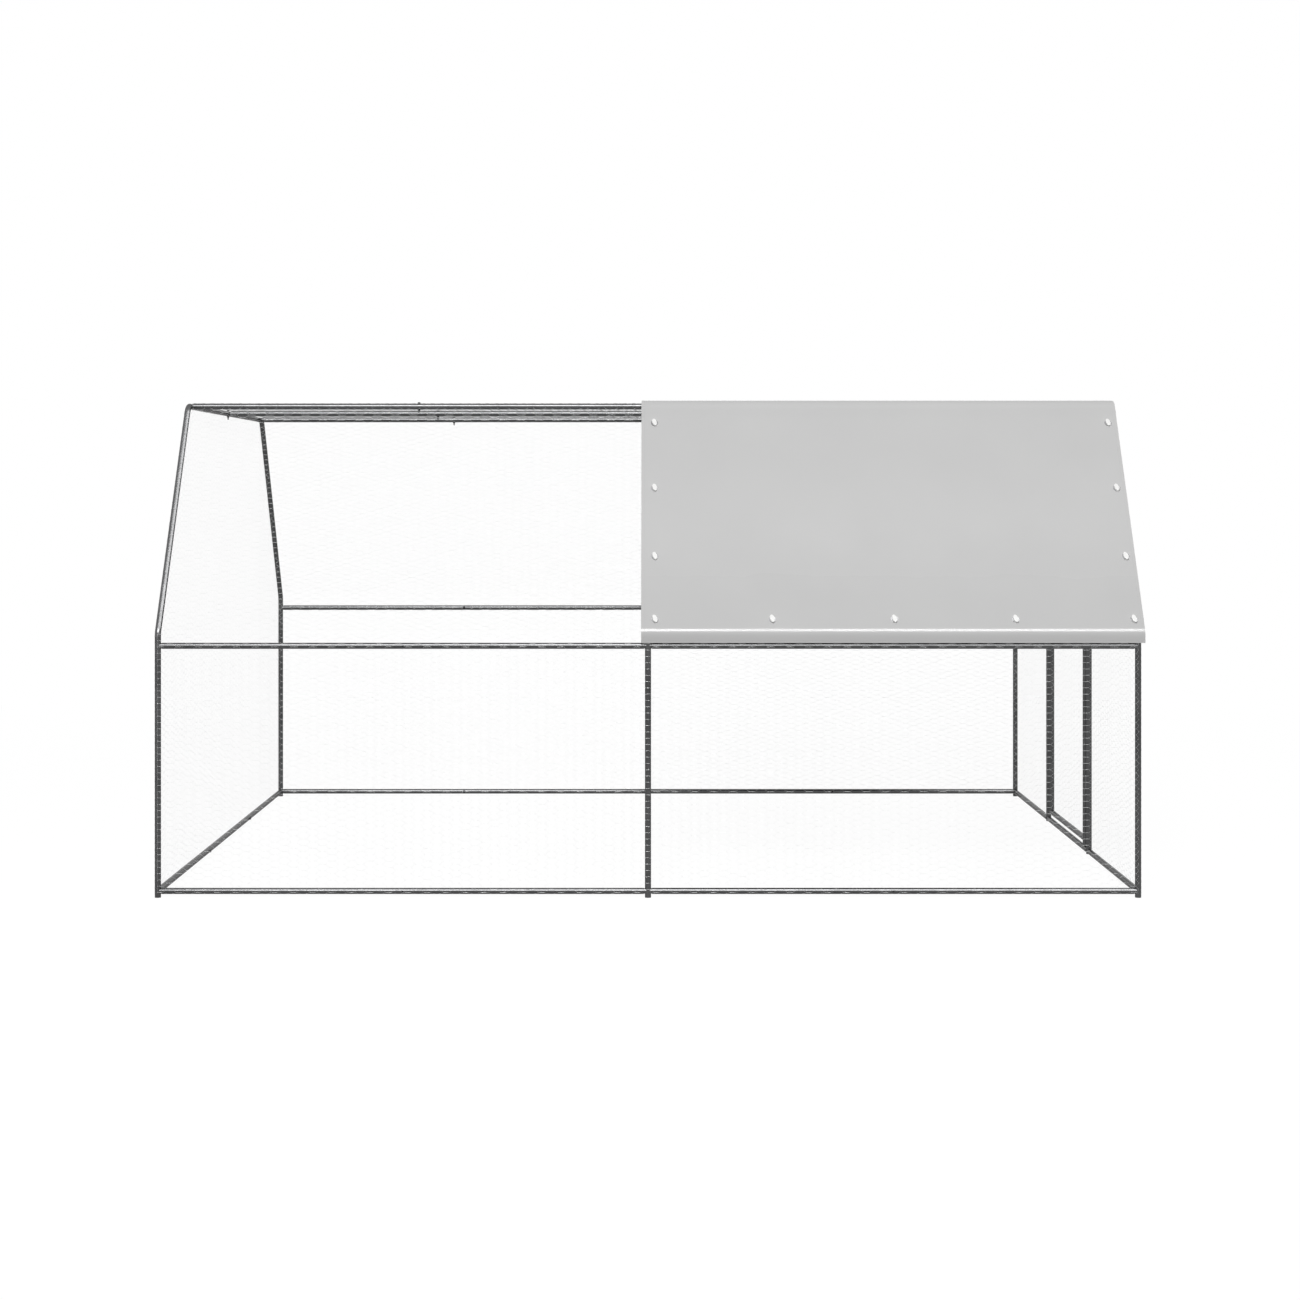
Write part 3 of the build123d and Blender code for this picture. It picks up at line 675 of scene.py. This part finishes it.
inner_left, inner_right = cover_left + hem_width, cover_right - hem_width
inner_xs = [inner_left + (inner_right - inner_left) * i / cover_steps for i in range(cover_steps + 1)]
hem_patches = [((cover_left, inner_left), cover_places), ((inner_right, cover_right), cover_places)]
hem_patches += [(inner_xs, cover_places[:2]), (inner_xs, cover_places[-2:])]
hems = cloth("cover_hems", hem_patches, -sheet_thickness, cover_grey)


def stitch_rows():
    """Geometry tree that lays a row of stitches along each line of a mesh."""
    tree = bpy.data.node_groups.new("rows of stitches", "GeometryNodeTree")
    tree.interface.new_socket("Lines", in_out="INPUT", socket_type="NodeSocketGeometry")
    for name, kind in (
        ("Stitch spacing", "NodeSocketFloat"),
        ("Stitch size", "NodeSocketVector"),
        ("Thread", "NodeSocketMaterial"),
    ):
        tree.interface.new_socket(name, in_out="INPUT", socket_type=kind)
    tree.interface.new_socket("Stitches", in_out="OUTPUT", socket_type="NodeSocketGeometry")
    given = add_node(tree, "NodeGroupInput").outputs
    lines = add_node(tree, "GeometryNodeMeshToCurve", {"Mesh": given["Lines"]}).outputs[0]
    spots = add_node(
        tree, "GeometryNodeCurveToPoints", {"Curve": lines, "Length": given["Stitch spacing"]}, mode="LENGTH"
    ).outputs
    turned = add_node(
        tree, "FunctionNodeAlignRotationToVector", {"Vector": spots["Tangent"]}, axis="X"
    ).outputs[0]
    bead = add_node(
        tree, "GeometryNodeMeshUVSphere", {"Segments": 6, "Rings": 4, "Radius": 0.5}
    ).outputs["Mesh"]
    laid = add_node(
        tree,
        "GeometryNodeInstanceOnPoints",
        {"Points": spots["Points"], "Instance": bead, "Rotation": turned, "Scale": given["Stitch size"]},
    ).outputs[0]
    whole = add_node(tree, "GeometryNodeRealizeInstances", {0: laid}).outputs[0]
    whole = add_node(
        tree, "GeometryNodeSetMaterial", {"Geometry": whole, "Material": given["Thread"]}
    ).outputs[0]
    add_node(tree, "NodeGroupOutput", {"Stitches": whole})
    return tree


def sewing_thread():
    """Grey twisted thread, a little darker than the sheet."""
    material = bpy.data.materials.new("grey sewing thread")
    material.use_nodes = True
    tree = material.node_tree
    shader = tree.nodes["Principled BSDF"]
    shader.inputs["Roughness"].default_value = 0.7
    place = add_node(tree, "ShaderNodeTexCoord").outputs["Object"]
    fibre = add_node(tree, "ShaderNodeTexNoise", {"Vector": place, "Scale": 2500.0, "Detail": 2.0})
    colour = add_node(
        tree,
        "ShaderNodeMix",
        {0: fibre.outputs["Fac"], 6: (0.40, 0.40, 0.40, 1.0), 7: (0.50, 0.50, 0.50, 1.0)},
        data_type="RGBA",
    )
    bump = add_node(tree, "ShaderNodeBump", {"Height": fibre.outputs["Fac"], "Strength": 0.5, "Distance": 0.0001})
    tree.links.new(colour.outputs[2], shader.inputs["Base Color"])
    tree.links.new(bump.outputs["Normal"], shader.inputs["Normal"])
    return material


stitch_in = 0.0125  # from the edge of the sheet
seam_lift = sheet_thickness / 2
seam_lines = []
for x in (cover_left + stitch_in, cover_right - stitch_in):
    seam_lines.append([cover_point(x, place, seam_lift) for place in cover_places])
for edge, inside in ((0, 1), (-1, -2)):
    flap_seam = []
    for x in inner_xs:
        start, end = Vector(cover_point(x, edge, seam_lift)), Vector(cover_point(x, inside, seam_lift))
        flap_seam.append(start.lerp(end, stitch_in / hem_width))
    seam_lines.append(flap_seam)
seam_points = [point for line in seam_lines for point in line]
seam_edges = []
for line in seam_lines:
    first = seam_edges[-1][1] + 1 if seam_edges else 0
    seam_edges += [(first + i, first + i + 1) for i in range(len(line) - 1)]
seam_mesh = bpy.data.meshes.new("cover_seams")
seam_mesh.from_pydata(seam_points, seam_edges, [])
stitch_values = {"Stitch spacing": 0.0042, "Stitch size": (0.0036, 0.0006, 0.0006), "Thread": sewing_thread()}
stitches = grown("cover_stitches", seam_mesh, stitch_rows(), stitch_values)
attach(stitches, "frame")

# Eyelets and toggles
# A pressed metal eyelet lines each hole along the cover's edges, and a white moulded toggle goes through it and
# hooks behind the net, turned a little from upright.

eyelet_metal = zinc_material(
    "pressed eyelet metal",
    dark=(0.20, 0.20, 0.205),
    light=(0.28, 0.28, 0.285),
    grains=500.0,
    smooth=0.3,
    dull=0.45,
    relief=0.00005,
)
dress(["cover_eyelets"], eyelet_metal)


def moulded_plastic():
    """White plastic with a faint cloud in its colour and the grain of its mould."""
    material = bpy.data.materials.new("white moulded plastic")
    material.use_nodes = True
    tree = material.node_tree
    shader = tree.nodes["Principled BSDF"]
    place = add_node(tree, "ShaderNodeTexCoord").outputs["Object"]
    clouds = add_node(tree, "ShaderNodeTexNoise", {"Vector": place, "Scale": 60.0, "Detail": 3.0})
    grain = add_node(tree, "ShaderNodeTexNoise", {"Vector": place, "Scale": 1500.0, "Detail": 2.0})
    colour = add_node(
        tree,
        "ShaderNodeMix",
        {0: clouds.outputs["Fac"], 6: (0.84, 0.84, 0.83, 1.0), 7: (0.90, 0.90, 0.89, 1.0)},
        data_type="RGBA",
    )
    rough = add_node(
        tree,
        "ShaderNodeMapRange",
        {"Value": clouds.outputs["Fac"], "From Min": 0.3, "From Max": 0.7, "To Min": 0.3, "To Max": 0.4},
    )
    bump = add_node(tree, "ShaderNodeBump", {"Height": grain.outputs["Fac"], "Strength": 0.3, "Distance": 0.0001})
    tree.links.new(colour.outputs[2], shader.inputs["Base Color"])
    tree.links.new(rough.outputs["Result"], shader.inputs["Roughness"])
    tree.links.new(bump.outputs["Normal"], shader.inputs["Normal"])
    return material


dress(["cover_toggles"], moulded_plastic())

# Floor, light and camera
# A pale floor that runs into a white surround, even light from all round, and a soft lamp high in front. The bare
# metal mirrors two wide lamps in its place, and the cover has two of its own: a strip that its bend mirrors, and a
# low one behind it. The camera stands level, at the height of a person's eyes.


def seen_directly(tree):
    """One for rays from the camera, a reflection or glass, and nought for the rays that carry light."""
    path = add_node(tree, "ShaderNodeLightPath").outputs
    seen = add_node(
        tree, "ShaderNodeMath", {0: path["Is Camera Ray"], 1: path["Is Glossy Ray"]}, operation="MAXIMUM"
    )
    return add_node(
        tree, "ShaderNodeMath", {0: seen.outputs[0], 1: path["Is Transmission Ray"]}, operation="MAXIMUM"
    ).outputs[0]


floor_mesh = bpy.data.meshes.new("floor")
floor_level = -0.0005
floor_plan = oblong(-40, 40, -40, 60)
floor_mesh.from_pydata([(x, y, floor_level) for x, y in floor_plan], [], [range(4)])
floor = bpy.data.objects.new("floor", floor_mesh)
bpy.context.scene.collection.objects.link(floor)
floor_white = bpy.data.materials.new("floor white")
floor_white.use_nodes = True
floor_tree = floor_white.node_tree
floor_tree.nodes.remove(floor_tree.nodes["Principled BSDF"])
floor_place = add_node(floor_tree, "ShaderNodeTexCoord").outputs["Object"]
floor_reach = add_node(floor_tree, "ShaderNodeVectorMath", {0: floor_place}, operation="LENGTH").outputs["Value"]
floor_far = add_node(
    floor_tree, "ShaderNodeMapRange", {"Value": floor_reach, "From Min": 3.0, "From Max": 8.0}
).outputs["Result"]
floor_colour = add_node(
    floor_tree,
    "ShaderNodeMix",
    {0: floor_far, 6: (0.055, 0.055, 0.055, 1.0), 7: (0.0, 0.0, 0.0, 1.0)},
    data_type="RGBA",
)
floor_paint = add_node(floor_tree, "ShaderNodeBsdfDiffuse", {"Color": floor_colour.outputs[2]})
floor_looked_at = add_node(
    floor_tree, "ShaderNodeMapRange", {"Value": floor_far, "To Min": 0.965, "To Max": 1.0}
).outputs["Result"]
mirrored_grey, bounced_grey = 0.52, 0.13  # the floor in the tubes' mirrors, and the light that it gives back
floor_mirrored = add_node(floor_tree, "ShaderNodeLightPath").outputs["Is Glossy Ray"]
floor_seen = add_node(
    floor_tree,
    "ShaderNodeMapRange",
    {"Value": floor_mirrored, "To Min": floor_looked_at, "To Max": mirrored_grey},
).outputs["Result"]
floor_strength = add_node(
    floor_tree,
    "ShaderNodeMapRange",
    {"Value": seen_directly(floor_tree), "To Min": bounced_grey, "To Max": floor_seen},
).outputs["Result"]
floor_glow = add_node(floor_tree, "ShaderNodeEmission", {"Strength": floor_strength})
floor_both = add_node(floor_tree, "ShaderNodeAddShader", {0: floor_paint.outputs[0], 1: floor_glow.outputs[0]})
floor_tree.links.new(floor_both.outputs[0], floor_tree.nodes["Material Output"].inputs["Surface"])
floor_mesh.materials.append(floor_white)

world = bpy.data.worlds.new("white surround")
world.use_nodes = True
bpy.context.scene.world = world
sky = world.node_tree.nodes["Background"]
sky.inputs["Color"].default_value = (1.0, 1.0, 1.0, 1.0)
sky_light, sky_seen = 0.45, 1.0
surround = add_node(
    world.node_tree,
    "ShaderNodeMapRange",
    {"Value": seen_directly(world.node_tree), "To Min": sky_light, "To Max": sky_seen},
)
world.node_tree.links.new(surround.outputs["Result"], sky.inputs["Strength"])


def soft_lamp(name, place, aim, size, power):
    """Oblong soft lamp, turned towards a point."""
    light = bpy.data.lights.new(name, "AREA")
    light.shape = "RECTANGLE"
    light.size, light.size_y = size
    light.energy = power
    lamp = bpy.data.objects.new(name, light)
    bpy.context.scene.collection.objects.link(lamp)
    lamp.location = place
    lamp.rotation_mode = "QUATERNION"
    lamp.rotation_quaternion = (Vector(aim) - Vector(place)).to_track_quat("-Z", "Y")
    return lamp


main_lamp = soft_lamp(
    "main lamp",
    place=(-0.3, -10.05, 8.0),
    aim=(4.5, -1.5, 1.08),  # past the right end, so that the cover is lit evenly
    size=(2.1, 2.1),
    power=810.0,
)
bare_metal = bpy.data.collections.new("bare metal")
not_bare_metal = bpy.data.collections.new("all but bare metal")
for node in nodes.values():
    if node.material_slots[0].material in (tube_zinc, bolt_zinc, fitting_zinc):
        bare_metal.objects.link(node)
        not_bare_metal.objects.link(node)
for left_out in not_bare_metal.collection_objects:
    left_out.light_linking.link_state = "EXCLUDE"
main_lamp.light_linking.receiver_collection = not_bare_metal
gloss_lamp = soft_lamp(
    "gloss lamp", place=(5.0, -22.87, 18.39), aim=(5.0, -1.5, 1.08), size=(28.0, 11.0), power=6300.0
)
gloss_ceiling = soft_lamp(
    "gloss ceiling", place=(3.5, -5.4, 9.0), aim=(0.0, -1.5, 1.08), size=(24.0, 6.0), power=1800.0
)
cover_parts = bpy.data.collections.new("cover parts")
for part in (cover, hems, stitches, nodes["cover_eyelets"], nodes["cover_toggles"]):
    cover_parts.objects.link(part)
back_lamp = soft_lamp("back lamp", place=(1.0, 12.0, 2.9), aim=(1.0, 1.4, 1.5), size=(4.0, 2.0), power=380.0)
strip_lamp = soft_lamp(
    "strip lamp", place=(3.25, -10.05, 8.0), aim=(3.25, -1.5, 1.08), size=(4.5, 2.1), power=1150.0
)
for lamp, lit in (
    (gloss_lamp, bare_metal),
    (gloss_ceiling, bare_metal),
    (back_lamp, cover_parts),
    (strip_lamp, cover_parts),
):
    lamp.visible_camera = False
    lamp.light_linking.receiver_collection = lit
for lamp in (gloss_lamp, gloss_ceiling, strip_lamp):
    lamp.visible_diffuse = False

view = bpy.data.cameras.new("camera")
view.sensor_width = 36.0
view.lens = 60.74
view.shift_x = 0.00154
view.shift_y = -0.1205
camera = bpy.data.objects.new("camera", view)
bpy.context.scene.collection.objects.link(camera)
camera.location = (0.0, -10.3825, 1.6383)
camera.rotation_euler = (math.pi / 2, 0.0, 0.0)
bpy.context.scene.camera = camera
bpy.context.scene.view_settings.view_transform = "Standard"
